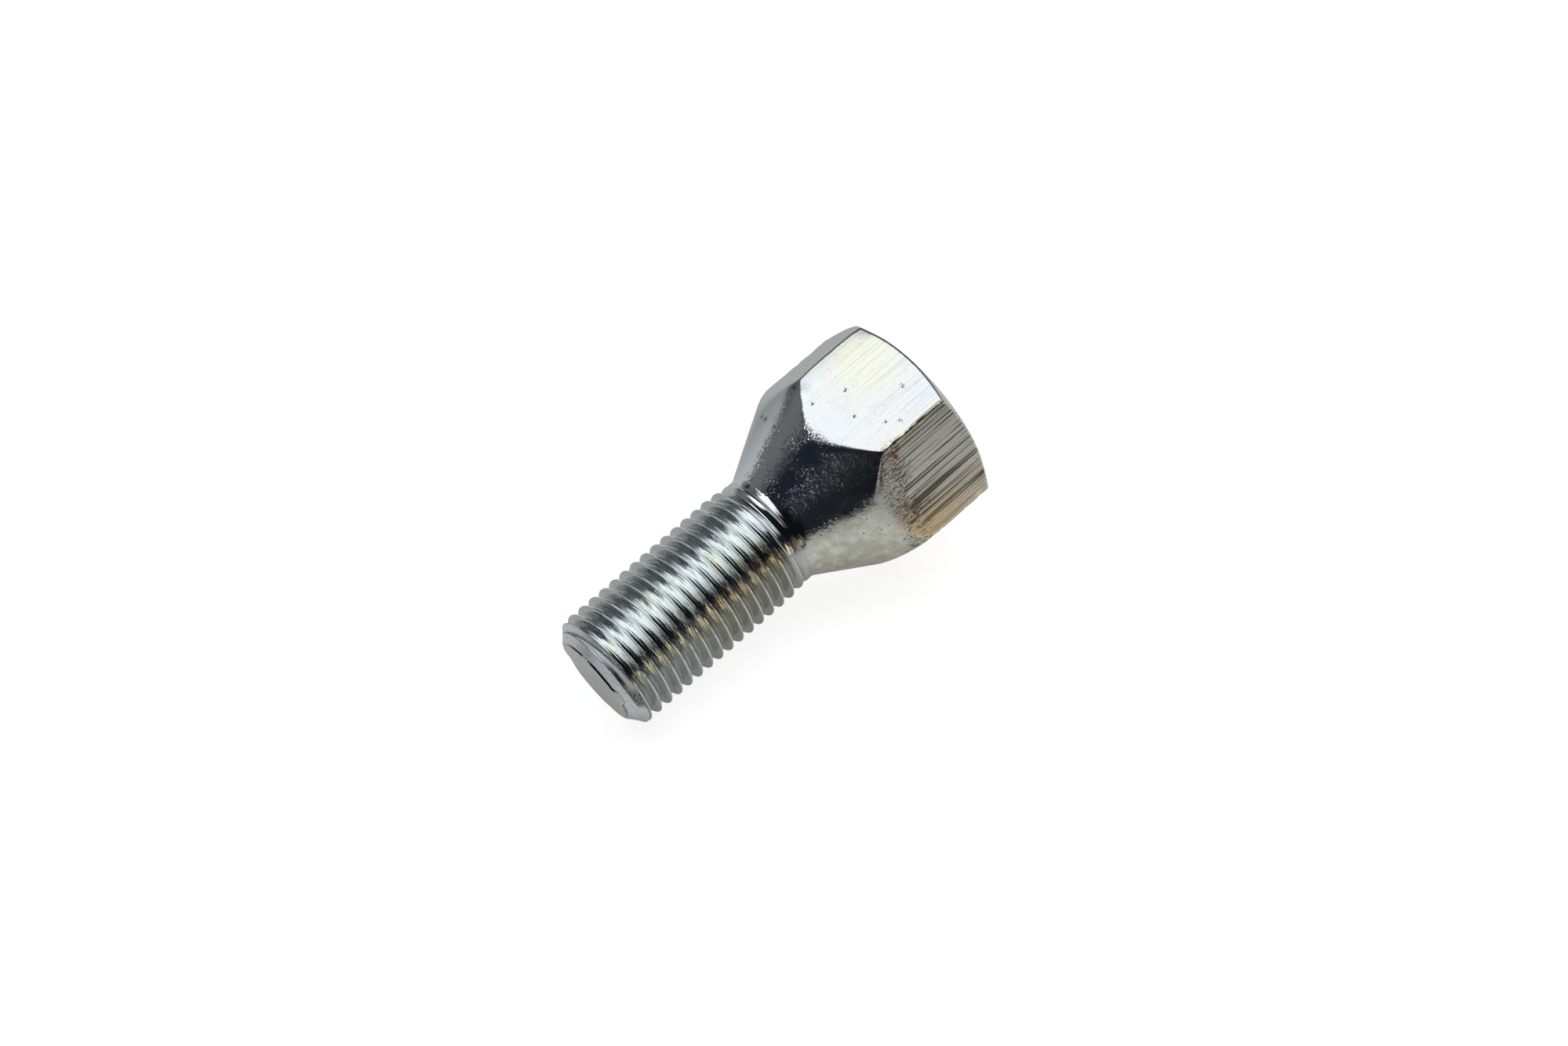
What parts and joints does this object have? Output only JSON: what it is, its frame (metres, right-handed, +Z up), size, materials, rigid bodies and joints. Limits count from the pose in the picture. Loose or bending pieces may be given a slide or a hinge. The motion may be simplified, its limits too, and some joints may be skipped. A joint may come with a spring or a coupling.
{
  "type": "wheel bolt",
  "caption": "Wheel bolt: a hexagon head runs out through scalloped flats into a conical seat on a short, fine-threaded shank; it clamps a road wheel to its hub.",
  "frame": {"origin": "on the floor, under the middle of the bolt's box as it lies at rest", "axes": "+Z is up. The bolt lies along X with its head towards +X and its shank end dipping to the floor, and one flat of its head faces the floor."},
  "size_m": [0.0414, 0.0218, 0.0202],
  "materials": {
    "zinc_plated_steel": "zinc plated, lightly worn"
  },
  "bodies": {
    "root": {"wheel_bolt": "zinc_plated_steel"}
  },
  "joints": []
}
